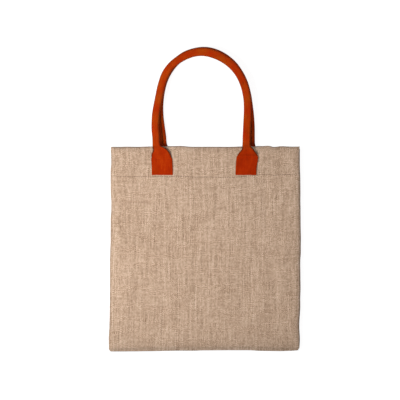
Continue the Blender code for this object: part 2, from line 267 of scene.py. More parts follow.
def crease(start, end, half, rise, fade, across, up):
    """How far one crease lifts the cloth at a place, in millimetres."""
    line = Vector(end) - Vector(start)
    here = Vector((across, up)) / MM - Vector(start)
    along = here.dot(line) / line.length
    wander = CREASE_WANDER * lattice.noise(Vector((along / CREASE_BEND, rise, 0.5)))
    beside = abs(here.cross(line)) / line.length + wander
    beyond = max(-along, along - line.length, 0)
    return rise * smooth(1 - beside / half) * smooth(1 - beyond / fade)


def under_tab(across, up):
    """1 under a front tab, 0 clear of it."""
    beside = min(abs(across - centre) for centre in FRONT_CENTRES) - TAB_WIDTH / 2
    level = smooth((up - TAB_FOOT + TAB_REST) / TAB_REST)
    return level * smooth(1 - beside / TAB_REST)


def stitch_line(across):
    return read(HEM_LINE, "across", across, "up")


def trough(across, up):
    """The groove that the hem's stitches pull, a little deeper in some places."""
    beside = abs(up - stitch_line(across)) / TROUGH_HALF
    uneven = 0.75 + 0.5 * lattice.noise(Vector((across / TROUGH_WAVE, 4.5, 0)))
    return read(HEM_LINE, "across", across, "pull") * uneven * smooth(1 - beside)


def relief(across, up):
    """Creases, swells and the hem's groove in the front, all below the flat of the tabs."""
    flat = flatness(across, up, FRONT_ROLL)
    shape = sum(crease(*row, across, up) for row in CREASES) * MM
    shape += waves(SWELLS, across, up, 1.9)
    shape *= flat * (1 - under_tab(across, up))
    step = HEM_STEP * smooth((stitch_line(across) - up) / HEM_STEP_RUN)
    droop = MOUTH_DROOP * max(0.0, 1 - (MOUTH - up) / MOUTH_DROOP_RUN) ** 2
    droop *= flat * (1 - TAB_HOLD * under_tab(across, up))
    return shape - step - trough(across, up) - droop


def front_face(across, up):
    edge = FRONT_SEAM + LAYER + thicker(up)
    flat = flatness(across, up, FRONT_ROLL)
    return edge + (FRONT_HEIGHT - edge) * flat + relief(across, up) * min(1.0, EDGE_RELIEF + flat)


def hump(across, up):
    """How far the back handle's tabs lift the back."""
    rise = HUMP_RISE * smooth((up - TAB_FOOT + HUMP_START) / HUMP_CLIMB)
    rise += HUMP_MOUTH * smooth((up - HUMP_SHOULDER) / (HUMP_NECK - HUMP_SHOULDER))
    flat = TAB_WIDTH / 2 + HUMP_MARGIN
    beside = min(abs(across - centre) for centre in BACK_CENTRES)
    return rise * smooth((flat + HUMP_FALL - beside) / HUMP_FALL)


def back_face(across, up):
    edge = BACK_SEAM - LAYER - thicker(up)
    flat = flatness(across, up, BACK_ROLL)
    lift = hump(across, up) + trough(across, up) * flat
    return edge + (BACK_HEIGHT - edge) * flat + lift


def over_allowance(across):
    """0 where the hem passes the side seam's allowance, 1 where it lies on the cloth again."""
    return smooth((ALLOWANCE_END - HEM_CLEAR - abs(across)) / HEM_FALL)


def front_hem(across, up):
    stack = FRONT_SEAM + LAYER + thicker(up) - 2 * LAYER
    beside = front_face(across, up) - LAYER
    return stack + (beside - stack) * over_allowance(across)


def back_hem(across, up):
    stack = BACK_SEAM - LAYER - thicker(up) + 2 * LAYER
    beside = back_face(across, up) + LAYER
    return stack + (beside - stack) * over_allowance(across)


def fold_line(across, top_of, under_of, lead):
    """Points of the mouth's fold at one place across, from the outer layer to the inner one.

    The fold leans as the cloth does where it begins.
    """
    radius = (top_of(across, MOUTH) - under_of(across, MOUTH)) / 2
    start = MOUTH - abs(radius)
    top = top_of(across, start)
    lean = math.atan((top - top_of(across, start - MM)) / MM)
    radius *= math.cos(lean)
    points = []
    for step in range(FOLD_STEPS + 1):
        angle = math.pi * step / FOLD_STEPS
        ahead, off = abs(radius) * math.sin(angle), radius * math.cos(angle)
        up = start + ahead * math.cos(lean) - off * math.sin(lean)
        middle = (top + under_of(across, start)) / 2
        height = middle + ahead * math.sin(lean) + off * math.cos(lean)
        points.append(placed(across, up, height) + Vector((0, lead, 0)))
    return points


def mouth_lead(across, up):
    """The back's mouth stands a little further up than the front's."""
    lead = read(MOUTH_LEAD, "across", across, "up")
    return lead * smooth((up - HEM_START) / (MOUTH - HEM_START))


def on_back(across, up, height):
    return placed(across, up, height) + Vector((0, mouth_lead(across, up), 0))


def strip_line(across, rows, hem_rows):
    """The cloth's middle at one place across: hem, front, bottom fold, back, hem."""
    line = [placed(across, up, front_hem(across, up)) for up in hem_rows]
    line += fold_line(across, front_face, front_hem, 0)[::-1]
    line += [placed(across, up, front_face(across, up)) for up in reversed(rows)]
    for step in range(1, BOTTOM_STEPS):
        angle = math.pi * step / BOTTOM_STEPS
        up = FOOT - BOTTOM_FOLD * math.sin(angle)
        line.append(placed(across, up, SEAM_HEIGHT + BOTTOM_FOLD * math.cos(angle)))
    line += [on_back(across, up, back_face(across, up)) for up in rows]
    line += fold_line(across, back_face, back_hem, mouth_lead(across, MOUTH))
    line += [on_back(across, up, back_hem(across, up)) for up in reversed(hem_rows)]
    return line


def mapped(face, uv_map, place_of):
    for corner in face.loops:
        corner[uv_map].uv = place_of[corner.vert]


def finished(shape, name):
    """The mesh of a bmesh, which is freed."""
    bmesh.ops.recalc_face_normals(shape, faces=shape.faces)
    mesh = bpy.data.meshes.new(name)
    shape.to_mesh(mesh)
    shape.free()
    mesh.shade_smooth()
    return mesh


def seam_line(side, up, face_of, turn):
    """The side seam's fold and allowance at one height: distance along the cloth and point."""
    edge = face_of(FACE_REACH, up)
    points = []
    for step in range(1, FOLD_STEPS + 1):
        angle = math.pi * step / FOLD_STEPS
        across = side * (FACE_REACH + FOLD * math.sin(angle))
        height = edge + turn * FOLD * (1 - math.cos(angle))
        points.append((FOLD * angle, placed(across, up, height)))
    for share in (0.5, 1):
        inward = (FACE_REACH - ALLOWANCE_END) * share
        flat = placed(side * (FACE_REACH - inward), up, edge + turn * LAYER)
        points.append((math.pi * FOLD + inward, flat))
    return points


def seam_lines(shape, place_of, edge, rows, side, face_of, turn):
    """The side seam's points at every height, each line from the edge of a face."""
    lines = []
    for start, up in zip(edge, rows):
        line = [start]
        from_middle, from_hem = place_of[start]
        for along, point in seam_line(side, up, face_of, turn):
            vertex = shape.verts.new(point)
            place_of[vertex] = (from_middle + side * along, from_hem)
            line.append(vertex)
        lines.append(line)
    return lines


def cloth_stations():
    """Places across of the cloth's columns of points, and heights of its rows."""
    columns = stations((
        (-FACE_REACH, SHARPEST),
        (EDGE_BAND - FACE_REACH, FINEST),
        (3 * EDGE_BAND - FACE_REACH, FINE),
        (FRONT_ROLL - FACE_REACH, COARSE),
        (FACE_REACH - FRONT_ROLL, FINE),
        (FACE_REACH - 3 * EDGE_BAND, FINEST),
        (FACE_REACH - EDGE_BAND, SHARPEST),
        (FACE_REACH, FINE),
    ))
    rows = stations((
        (FOOT, FINE),
        (FOOT + BOTTOM_ROLL, COARSE),
        (CREASE_FOOT, FINEST),
        (CREASE_HEAD, COARSE),
        (HEM_START, FINEST),
        (TAB_FOOT + GROOVE_ROOM, COARSE),
        (MOUTH - MOUTH_FOLD_ROOM, COARSE),
    ))
    return columns, rows


def yarn_reaches(columns, lines):
    """How far each line's points lie from the middle, measured on the cloth.

    Yarns keep their own spacing where the cloth turns down at a side.
    """
    half = len(columns) // 2
    reaches = {half: [columns[half]] * len(lines[half])}
    for way, order in ((1, range(half + 1, len(columns))), (-1, range(half - 1, -1, -1))):
        for n in order:
            step = abs(columns[n] - columns[n - way])
            reaches[n] = [
                so_far + way * math.hypot(step, here.co.z - before.co.z)
                for so_far, here, before in zip(reaches[n - way], lines[n], lines[n - way])
            ]
    return reaches


def yarn_lengths(line, lengths, front_start, back_stop):
    """How far a line's points lie along the strip, with its own lengths past the mouth."""
    own = list(lengths)
    for k in range(front_start - 1, -1, -1):
        own[k] = own[k + 1] - (line[k].co - line[k + 1].co).length
    for k in range(back_stop, len(line)):
        own[k] = own[k - 1] + (line[k].co - line[k - 1].co).length
    return own


def jute_body():
    """The cloth's middle surface, with a UV map in metres along and across the strip."""
    columns, rows = cloth_stations()
    hem_rows = [up for up in rows if up > HEM_START - MM / 2]
    front_start = len(hem_rows) + FOLD_STEPS + 1
    back_start = front_start + len(rows) + BOTTOM_STEPS - 1
    back_stop = back_start + len(rows)
    shape = bmesh.new()
    cloth_map = shape.loops.layers.uv.new("cloth")
    middle = strip_line(0.0, rows, hem_rows)
    lengths = [0.0]
    for before, after in zip(middle, middle[1:]):
        lengths.append(lengths[-1] + (after - before).length)
    lines = [[shape.verts.new(p) for p in strip_line(x, rows, hem_rows)] for x in columns]
    reaches = yarn_reaches(columns, lines)
    place_of = {}
    for n, line in enumerate(lines):
        own = yarn_lengths(line, lengths, front_start, back_stop)
        place_of.update(zip(line, zip(reaches[n], own)))

    def quads(first, second):
        for k in range(len(first) - 1):
            face = shape.faces.new((first[k], first[k + 1], second[k + 1], second[k]))
            mapped(face, cloth_map, place_of)

    def lid(line):
        """Closes the open end of a fold, from one layer of it to the other."""
        for k in range((len(line) - 1) // 2):
            around = (line[k], line[k + 1], line[-k - 2], line[-k - 1])
            face = shape.faces.new(tuple(dict.fromkeys(around)))
            for corner in face.loops:
                corner[cloth_map].uv = corner.vert.co.zy
                corner.edge.smooth = False

    for first, second in zip(lines, lines[1:]):
        quads(first, second)
    for side, line in ((-1, lines[0]), (1, lines[-1])):
        lid(line[front_start - FOLD_STEPS - 2:front_start + 1])
        lid(line[front_start + len(rows) - 1:back_start + 1])
        lid(line[back_stop - 1:back_stop + FOLD_STEPS + 2])
        front_edge = line[front_start:front_start + len(rows)][::-1]
        back_edge = line[back_start:back_stop]
        for edge, face_of, turn in ((front_edge, front_face, -1), (back_edge, back_face, 1)):
            seams = seam_lines(shape, place_of, edge, rows, side, face_of, turn)
            for first, second in zip(seams, seams[1:]):
                quads(first, second)
    return finished(shape, "jute_bag"), lengths[-1]


def shown(name, mesh):
    made = bpy.data.objects.new(name, mesh)
    bpy.context.scene.collection.objects.link(made)
    return made


def put(tree, socket, value):
    """Joins a socket to another, or sets its number."""
    if isinstance(value, bpy.types.NodeSocket):
        tree.links.new(value, socket)
    else:
        socket.default_value = value


def dressed(tree, looks):
    """Joins or sets the inputs of a material's shader."""
    for name, value in looks.items():
        put(tree, tree.nodes["Principled BSDF"].inputs[name], value)


def bare_material(name, roughness):
    """A new material and its node tree, dull and without metal."""
    made = bpy.data.materials.new(name)
    made.use_nodes = True
    dressed(made.node_tree, {"Metallic": 0, "Roughness": roughness})
    return made, made.node_tree


def wired(tree, kind, inputs, **settings):
    """A new node with its settings made and its inputs joined or set. Gives its first output."""
    node = tree.nodes.new(kind)
    for name, value in settings.items():
        setattr(node, name, value)
    for name, value in inputs.items():
        put(tree, next(s for s in node.inputs if s.name == name and s.enabled), value)
    return next(s for s in node.outputs if s.enabled)


def maths(tree, operation, *values):
    node = tree.nodes.new("ShaderNodeMath")
    node.operation = operation
    for socket, value in zip(node.inputs, values):
        put(tree, socket, value)
    return node.outputs["Value"]


def scaled(tree, value, factor, added=0.0):
    return maths(tree, "MULTIPLY_ADD", value, factor, added)


def total(tree, value, *parts):
    """A number with a share of each part added, from (part, share) pairs."""
    for part, share in parts:
        value = maths(tree, "ADD", value, scaled(tree, part, share))
    return value


def across_along(tree, vector):
    """The first two numbers of a vector."""
    parts = tree.nodes.new("ShaderNodeSeparateXYZ")
    put(tree, parts.inputs["Vector"], vector)
    return parts.outputs["X"], parts.outputs["Y"]


def joined(tree, x, y, z=0.0):
    return wired(tree, "ShaderNodeCombineXYZ", {"X": x, "Y": y, "Z": z})


def fibres(tree, vector, detail=1.0):
    """Soft noise between about -1 and 1, one wave to each unit of its vector."""
    inputs = {"Scale": 1.0, "Detail": detail, "Vector": vector}
    return scaled(tree, wired(tree, "ShaderNodeTexNoise", inputs), 4.0, -2.0)


def eased(tree, value, low, high, out_low=0.0, out_high=1.0):
    inputs = {
        "Value": value, "From Min": low, "From Max": high,
        "To Min": out_low, "To Max": out_high,
    }
    return wired(tree, "ShaderNodeMapRange", inputs, interpolation_type="SMOOTHSTEP")


def toned(tree, value, *stops):
    """A colour ramp of (place, colour) stops."""
    node = tree.nodes.new("ShaderNodeValToRGB")
    ramp = node.color_ramp
    while len(ramp.elements) < len(stops):
        ramp.elements.new(1.0)
    for element, (place, colour) in zip(ramp.elements, stops):
        element.position = place
        element.color = (*colour, 1)
    put(tree, node.inputs["Fac"], value)
    return node.outputs["Color"]


def multiplied(tree, vector, amount):
    """A colour or a place times a number."""
    inputs = {"Vector": vector, "Scale": amount}
    return wired(tree, "ShaderNodeVectorMath", inputs, operation="SCALE")


def bumped(tree, height, distance, strength):
    inputs = {"Strength": strength, "Distance": distance, "Height": height}
    return wired(tree, "ShaderNodeBump", inputs)


def knots(tree, first, second, seed):
    """A plain random number between -1 and 1 for each pair of whole numbers."""
    inputs = {"Vector": joined(tree, first, second, seed)}
    found = wired(tree, "ShaderNodeTexWhiteNoise", inputs, noise_dimensions="3D")
    return scaled(tree, found, 2.0, -1.0)


def picked(tree, chosen, on, off):
    """on where chosen is 1, off where it is 0."""
    return maths(tree, "MULTIPLY_ADD", chosen, maths(tree, "SUBTRACT", on, off), off)


def laid_out(tree, map_name):
    """Places across and along a strip by its UV map, in metres, and soft noise over it."""
    place = tree.nodes.new("ShaderNodeUVMap")
    place.uv_map = map_name
    across, along = across_along(tree, place.outputs["UV"])

    def noise(x_scale, y_scale, seed, detail=1.0):
        """Noise with so many waves to a metre across and along."""
        where = joined(tree, scaled(tree, across, x_scale), scaled(tree, along, y_scale), seed)
        return fibres(tree, where, detail)

    return across, along, noise


def woven_jute(middle):
    """Plain weave of hand-spun jute: yarns thick and thin, pale and dark, with pinholes between.
    The pinholes and the hollows between the yarns are darkened as painted shade, and the yarns'
    crowns are a touch lighter.

    middle is the place along the strip of the bottom fold, near which the cloth is a little
    darker.
    """
    warp_pitch = 1.95 * MM
    weft_pitch = 2.15 * MM
    warp_tone_share = 1.45      # how much the warp's yarns differ from each other
    weft_tone_share = 0.8
    knot_tone_share = 0.48      # and one crossing from the next
    made, tree = bare_material("woven_jute", 0.92)
    across, along, noise = laid_out(tree, "cloth")

    # The yarns wander from straight
    drift = scaled(tree, noise(13.0, 13.0, 0.4), 0.75 * MM)
    drift = total(tree, drift, (noise(70.0, 70.0, 5.2), 0.28 * MM))
    sway = scaled(tree, noise(11.0, 16.0, 9.6, 2.0), 0.9 * MM)
    warp = scaled(tree, maths(tree, "ADD", across, drift), 1 / warp_pitch, 400.0)
    weft = scaled(tree, maths(tree, "ADD", along, sway), 1 / weft_pitch, 400.0)

    def yarns(place, crossed, turn, length, slow, quick, seed):
        """Number, height and tone of one set of yarns, at a place counted in yarns."""
        number = maths(tree, "FLOOR", place)
        beside = maths(tree, "SUBTRACT", maths(tree, "FRACT", place), 0.5)
        own = scaled(tree, number, 5.37, seed)

        def run(waves_per_metre, shift):
            where = joined(tree, own, scaled(tree, length, waves_per_metre), seed + shift)
            return fibres(tree, where)

        slub, thick, fleck = run(slow, 3.1), run(quick, 0.0), run(190.0, 6.2)
        half = total(tree, scaled(tree, slub, 0.07, 0.43), (thick, 0.05))
        share = maths(tree, "DIVIDE", beside, half)
        round_top = maths(tree, "SUBTRACT", 1.0, maths(tree, "MULTIPLY", share, share))
        crown = maths(tree, "SQRT", maths(tree, "MAXIMUM", round_top, 0.0))
        phase = scaled(tree, maths(tree, "ADD", crossed, number), math.pi)
        bend = scaled(tree, maths(tree, "SINE", phase), 0.42 * turn)
        missing = scaled(tree, maths(tree, "LESS_THAN", crown, 0.08), 2.0)
        height = maths(tree, "SUBTRACT", maths(tree, "ADD", crown, bend), missing)
        return number, height, total(tree, scaled(tree, slub, 0.5), (thick, 0.4), (fleck, 0.2))

    warp_number, warp_height, warp_tone = yarns(warp, weft, 1.0, along, 11.0, 46.0, 0.3)
    weft_number, weft_height, weft_tone = yarns(weft, warp, -1.0, across, 21.0, 70.0, 7.9)
    on_top = maths(tree, "GREATER_THAN", warp_height, weft_height)
    height = maths(tree, "MAXIMUM", maths(tree, "MAXIMUM", warp_height, weft_height), -0.55)
    warp_tone = scaled(tree, warp_tone, warp_tone_share)
    weft_tone = scaled(tree, weft_tone, weft_tone_share)
    tone = picked(tree, on_top, warp_tone, weft_tone)

    # Each crossing has its own tone; fine fibres lie along the yarn that is on top
    knot = knots(tree, warp_number, weft_number, 2.0)
    grain = picked(tree, on_top, noise(4200.0, 500.0, 1.0), noise(500.0, 4200.0, 2.0))
    stain = noise(17.0, 12.0, 4.4, 2.0)
    tone = total(tree, tone, (knot, knot_tone_share), (grain, 0.13), (stain, 0.06))
    colour = toned(
        tree, scaled(tree, tone, 0.36, 0.5),
        (0.0, (0.235, 0.140, 0.080)),
        (0.35, (0.430, 0.290, 0.196)),
        (0.65, (0.575, 0.410, 0.300)),
        (1.0, (0.700, 0.545, 0.420)),
    )
    # The cloth is made a little darker near the bottom fold
    from_bottom = maths(tree, "ABSOLUTE", scaled(tree, along, 1.0, -middle))
    # Painted shade: darker in the hollows and pinholes between yarns, a touch lighter on their
    # crowns
    depth = eased(tree, height, -0.6, 0.9, 0.40, 1.06)
    depth = maths(tree, "MULTIPLY", depth, eased(tree, from_bottom, 0.01, 0.13, 0.95, 1.0))
    dressed(tree, {
        "Base Color": multiplied(tree, colour, depth),
        "Normal": bumped(tree, total(tree, height, (grain, 0.10)), 0.42 * MM, 0.9),
        "Sheen Weight": 0.08,
        "Sheen Roughness": 0.6,
        "Specular IOR Level": 0.25,
    })
    return made


jute_mesh, jute_length = jute_body()
jute_bag = shown("jute_bag", jute_mesh)
jute_mesh.materials.append(woven_jute(jute_length / 2))
cloth_thickness = jute_bag.modifiers.new("cloth", "SOLIDIFY")
cloth_thickness.thickness = CLOTH
cloth_thickness.offset = 0
cloth_thickness.use_even_offset = True
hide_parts("bag_body")
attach(jute_bag, "root")

# ---------------------------------------------------------------------------------------
# Hem stitching. One row of linen thread round the mouth, through the front or the back and
# the hem behind it, sewn on a machine with a long stitch. The thread is darker than the jute:
# partly its own colour, partly painted shade of the groove that the stitches pull.

THREAD_RADIUS = 0.45 * MM
STITCH_STEP = 4.6 * MM
STITCH_LENGTH = 3.5 * MM
STITCH_DIP = 0.42 * MM      # how far each end of a stitch goes down into the cloth
STITCH_MARGIN = 1 * MM      # from a side fold to the row's end
BOW_REACH = 0.62            # of half a stitch, to where its bow is steered from
BOW_RISE = 0.45             # of its dip, the same upwards
BOW_STEPS = 8
THREAD_SIDES = 6
HEM_UNEVEN = 0.07           # share by which its stitches' sizes and turns differ
HEM_PATH_STEPS = 150


def stitching_tree():
    """Geometry nodes: one bowed stitch at every step along each path of a mesh of edges.

    Each path carries the direction that its stitches face, and how far they are turned.
    """
    tree = bpy.data.node_groups.new("stitching", "GeometryNodeTree")
    sockets = tree.interface
    sockets.new_socket("Paths", in_out="INPUT", socket_type="NodeSocketGeometry")
    for name in ("Step", "Length", "Dip", "Radius", "Unevenness"):
        sockets.new_socket(name, in_out="INPUT", socket_type="NodeSocketFloat")
    sockets.new_socket("Seed", in_out="INPUT", socket_type="NodeSocketInt")
    sockets.new_socket("Thread", in_out="INPUT", socket_type="NodeSocketMaterial")
    sockets.new_socket("Stitches", in_out="OUTPUT", socket_type="NodeSocketGeometry")
    given = tree.nodes.new("NodeGroupInput").outputs

    def add(kind, inputs=(), **settings):
        return wired(tree, kind, dict(inputs), **settings)

    def attribute(name, kind):
        return add("GeometryNodeInputNamedAttribute", {"Name": name}, data_type=kind)

    curve = add("GeometryNodeMeshToCurve", {"Mesh": given["Paths"]})
    inputs = {"Curve": curve, "Length": given["Step"]}
    steps = add("GeometryNodeResampleCurve", inputs, mode="LENGTH")

    # The bow's ends go down into the cloth, and its middle rises off it
    half = maths(tree, "MULTIPLY", given["Length"], 0.5)
    bow = {"Resolution": BOW_STEPS}
    corners = (
        ("Start", -1.0, -1.0), ("Start Handle", -BOW_REACH, BOW_RISE),
        ("End Handle", BOW_REACH, BOW_RISE), ("End", 1.0, -1.0),
    )
    for name, out, rise in corners:
        ahead = maths(tree, "MULTIPLY", half, out)
        bow[name] = joined(tree, ahead, 0.0, maths(tree, "MULTIPLY", given["Dip"], rise))
    inputs = {"Resolution": THREAD_SIDES, "Radius": given["Radius"]}
    thread = add("GeometryNodeCurveToMesh", {
        "Curve": add("GeometryNodeCurvePrimitiveBezierSegment", bow),
        "Profile Curve": add("GeometryNodeCurvePrimitiveCircle", inputs),
        "Fill Caps": True,
    })

    # Each stitch runs along its path, faces as the path says, and turns a little by chance
    tangent = add("GeometryNodeInputTangent")
    along = add("FunctionNodeAlignRotationToVector", {"Vector": tangent}, axis="X")
    inputs = {"Rotation": along, "Vector": attribute("facing", "FLOAT_VECTOR")}
    facing = add("FunctionNodeAlignRotationToVector", inputs, axis="Z", pivot_axis="X")
    uneven = add("FunctionNodeRandomValue", {
        "Min": maths(tree, "MULTIPLY", given["Unevenness"], -1.0),
        "Max": given["Unevenness"], "Seed": given["Seed"],
    }, data_type="FLOAT")
    turn = maths(tree, "ADD", attribute("turned", "FLOAT"), uneven)
    turned = add("FunctionNodeEulerToRotation", {"Euler": joined(tree, 0.0, 0.0, turn)})
    inputs = {"Rotation": facing, "Rotate By": turned}
    rotation = add("FunctionNodeRotateRotation", inputs, rotation_space="LOCAL")

    sewn_on = add("GeometryNodeInstanceOnPoints", {
        "Points": steps, "Instance": thread, "Rotation": rotation,
        "Scale": maths(tree, "ADD", uneven, 1.0),
    })
    real = add("GeometryNodeRealizeInstances", {"Geometry": sewn_on})
    inputs = {"Geometry": real, "Material": given["Thread"]}
    coloured = add("GeometryNodeSetMaterial", inputs)
    put(tree, tree.nodes.new("NodeGroupOutput").inputs["Stitches"], coloured)
    return tree


STITCHING = stitching_tree()


def sewn(name, paths, thread, seed, **sizes):
    """Stitches along paths, each a list of points, the way it faces, and its stitches' turn."""
    points, edges, faces_up, turns = [], [], [], []
    for path, facing, turned in paths:
        edges += [(len(points) + k, len(points) + k + 1) for k in range(len(path) - 1)]
        points += [tuple(point) for point in path]
        faces_up += [facing] * len(path)
        turns += [turned] * len(path)
    guide = bpy.data.meshes.new(name + "_guide")
    guide.from_pydata(points, edges, [])
    way = guide.attributes.new("facing", "FLOAT_VECTOR", "POINT")
    way.data.foreach_set("vector", [value for facing in faces_up for value in facing])
    guide.attributes.new("turned", "FLOAT", "POINT").data.foreach_set("value", turns)
    made = shown(name, guide)
    rows = made.modifiers.new("stitching", "NODES")
    rows.node_group = STITCHING
    given = {"Seed": seed, "Thread": thread, **sizes}
    for socket in STITCHING.interface.items_tree:
        if socket.in_out == "INPUT" and socket.name in given:
            rows[socket.identifier] = given[socket.name]
    graph = bpy.context.evaluated_depsgraph_get()
    mesh = bpy.data.meshes.new_from_object(made.evaluated_get(graph))
    made.modifiers.clear()
    made.data = mesh
    mesh.materials.pop(index=0)
    mesh.name = name
    mesh.shade_smooth()
    bpy.data.meshes.remove(guide)
    return made


def spun_thread(name, dark, light):
    """Two-ply thread: its twist as slanting bands, bumped and with painted shade in the grooves
    between the plies, and a little fluff.
    """
    twist = 0.75 * MM
    tuft = 2.2 * MM
    made, tree = bare_material(name, 0.85)
    place = tree.nodes.new("ShaderNodeTexCoord").outputs["Object"]
    slant = maths(tree, "ADD", *across_along(tree, place))
    ply = maths(tree, "SINE", scaled(tree, slant, 2 * math.pi / twist))
    fluff = fibres(tree, multiplied(tree, place, 1 / tuft), 3.0)
    # The twist's grooves are coloured darker as painted shade
    tone = total(tree, scaled(tree, ply, 0.22, 0.5), (fluff, 0.2))
    dressed(tree, {
        "Base Color": toned(tree, tone, (0.0, dark), (1.0, light)),
        "Normal": bumped(tree, tone, 0.18 * MM, 0.8),
        "Specular IOR Level": 0.08,
    })
    return made


def hem_path(face_of, place, side):
    """The hem's row of stitches on one face, resting on the cloth's outside."""
    ends = FACE_REACH - STITCH_MARGIN
    path = []
    for k in range(HEM_PATH_STEPS + 1):
        across = -ends + 2 * ends * k / HEM_PATH_STEPS
        up = stitch_line(across)
        path.append(place(across, up, face_of(across, up) + side * HALF_CLOTH))
    return path


# Thread darker than the jute: its own colour plus painted shade of the stitches' groove
hem_thread_and_groove_shade = spun_thread("jute_thread_and_groove_shade", (0.10, 0.062, 0.037), (0.22, 0.145, 0.095))
hem_stitches = sewn(
    "hem_stitches",
    [
        (hem_path(front_face, placed, 1), (0, 0, 1), 0.0),
        (hem_path(back_face, on_back, -1), (0, 0, -1), 0.0),
    ],
    hem_thread_and_groove_shade, seed=4, Step=STITCH_STEP, Length=STITCH_LENGTH, Dip=STITCH_DIP,
    Radius=THREAD_RADIUS, Unevenness=HEM_UNEVEN,
)
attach(hem_stitches, "root")

# ---------------------------------------------------------------------------------------
# Front handle. One strip of rust suede. Its two ends are flat tabs sewn to the front of the
# bag; above them its edges fold under and meet, so that it becomes a round grip with a seam
# along its hidden side.

SUEDE = 2.2 * MM            # thickness
GRIP = 15 * MM              # across the rolled part
GRIP_CURL = (GRIP - SUEDE) / 2      # radius of the strip's middle there
TIGHT_CURL = 1.2 * MM       # the same at the sharpest fold
SEAM_OPEN = 0.5 * MM        # between the two edges where they meet
EDGE_ROUND = 0.8 * MM       # cut edges, worn round
LEFT_SQUARENESS = 2.9       # of the grip's section: 2 is round, more is flatter on each side
RIGHT_SQUARENESS = 5.5
FOLD_HASTE = 1.8            # the edges turn down quickly where the strip begins to narrow
TAB_CLEAR = 0.3 * MM        # between a tab and the bag's full depth
GRIP_CLEAR = 0.8 * MM       # between one grip's full width and the other
ON_BAG = BAG_DEPTH + TAB_CLEAR      # underside of the tabs
ON_HANDLE = GRIP + GRIP_CLEAR       # underside where it lies on the back handle
DESCENT = 60 * MM           # above the mouth, over which it comes down
NECK = 26 * MM              # from a tab's shoulder to where the strip has its grip's width
ACROSS_FACES = 46
TAB_ROW = 1.2 * MM
ARCH_STEPS = 9              # stations between two rows of a grip's middle line
SHOULDERS = 380 * MM        # a tab's shoulder is its first row above this
UNEVEN_GRIP = 0.015         # share of its width by which a grip swells and thins
UNEVEN_RUN = 21 * MM        # over this length
MEETING = 0.98              # of half a turn, where the two edges meet and lie down together
SHARP_CORNER = math.radians(55)     # corners sharper than this stay sharp
CUT_WEAR = 0.6              # of a cut edge's colour, on the face beside it
SHADE_HASTE = 30            # how soon painted shade darkens a shoulder once the strip curls
SHADE_END = 2.2             # and how it clears again as the strip becomes a grip
SHADE_FALL = 3.2
SHADE_LEAN = 0.1            # faces that lean more than this get painted shade
SHADE_SPREAD = 0.3

# Ends of the front handle: height, both edges, and the radius that its edges curl to
FRONT_LEFT = rows_of(
    "up left right curl",
    (352, -106.4, -65.4, 1.2), (353, -107.0, -64.8, 1.2), (372, -107.4, -65.1, 1.2),
    (384, -108.0, -65.8, 1.2), (388, -108.0, -67.0, 1.5), (392, -107.7, -68.6, 2.0),
    (396, -107.0, -70.7, 2.4), (398, -105.4, -71.9, 2.5), (401, -104.6, -74.0, 2.7),
    (404.5, -104.8, -77.6, 3.0), (407, -105.0, -81.8, 3.4), (409, -105.2, -87.6, 4.0),
    (411, -105.4, -89.8, 4.8), (415, -105.5, -90.3, 5.5), (420, -105.6, -90.6, 6.1),
    (426, -105.7, -90.7, 6.4),
)
FRONT_RIGHT = rows_of(
    "up left right curl",
    (352, 61.2, 101.4, 1.2), (353, 60.4, 102.2, 1.2), (366, 60.8, 103.0, 1.2),
    (382, 61.8, 105.4, 1.2), (388, 62.6, 106.0, 1.5), (391, 63.8, 105.2, 1.9),
    (394, 65.8, 103.6, 2.2), (398, 68.6, 100.8, 2.5), (401, 71.2, 98.6, 2.7),
    (403.5, 73.0, 96.6, 2.9), (406, 73.6, 94.4, 3.3), (408.5, 73.9, 91.8, 3.9),
    (411, 74.1, 90.2, 4.8), (415, 74.3, 89.7, 5.5), (420, 74.5, 89.5, 6.1),
    (426, 74.5, 89.5, 6.4),
)
# Middle line of the front grip, left to right, and the grip's width
FRONT_ARCH = rows_of(
    "across up grip",
    (-98.2, 426.0, 15.0), (-100.0, 447.0, 15.0), (-99.2, 470.0, 15.0), (-96.2, 490.0, 15.0),
    (-92.0, 511.0, 15.0), (-86.7, 534.0, 15.4), (-78.8, 555.0, 15.4), (-66.5, 571.8, 15.0),
    (-49.0, 585.3, 15.2), (-28.5, 594.7, 16.0), (-7.0, 598.2, 16.8), (14.5, 594.6, 16.9),
    (36.0, 584.9, 16.6), (54.5, 570.6, 16.0), (69.0, 551.5, 15.2), (78.6, 529.0, 15.0),
    (83.6, 505.0, 15.0), (84.6, 480.0, 15.0), (83.4, 453.0, 15.0), (82.0, 426.0, 15.0),
)


def bent(start, leaving, end, arriving, t):
    """A cubic from start to end, with its slope at each."""
    found = start * (2 * t**3 - 3 * t**2 + 1) + leaving * (t**3 - 2 * t**2 + t)
    return found + end * (3 * t**2 - 2 * t**3) + arriving * (t**3 - t**2)


def through(rows, at, column):
    """A column of a handle's end at one height, on one smooth line through its rows."""
    last = len(rows) - 1
    k = max(0, min(last - 1, sum(row["up"] <= at for row in rows) - 1))

    def slope(n):
        low, high = rows[max(n - 1, 0)], rows[min(n + 1, last)]
        return (high[column] - low[column]) / (high["up"] - low["up"])

    low, high = rows[k], rows[k + 1]
    run = high["up"] - low["up"]
    t = (at - low["up"]) / run
    return bent(low[column], slope(k) * run, high[column], slope(k + 1) * run, t)


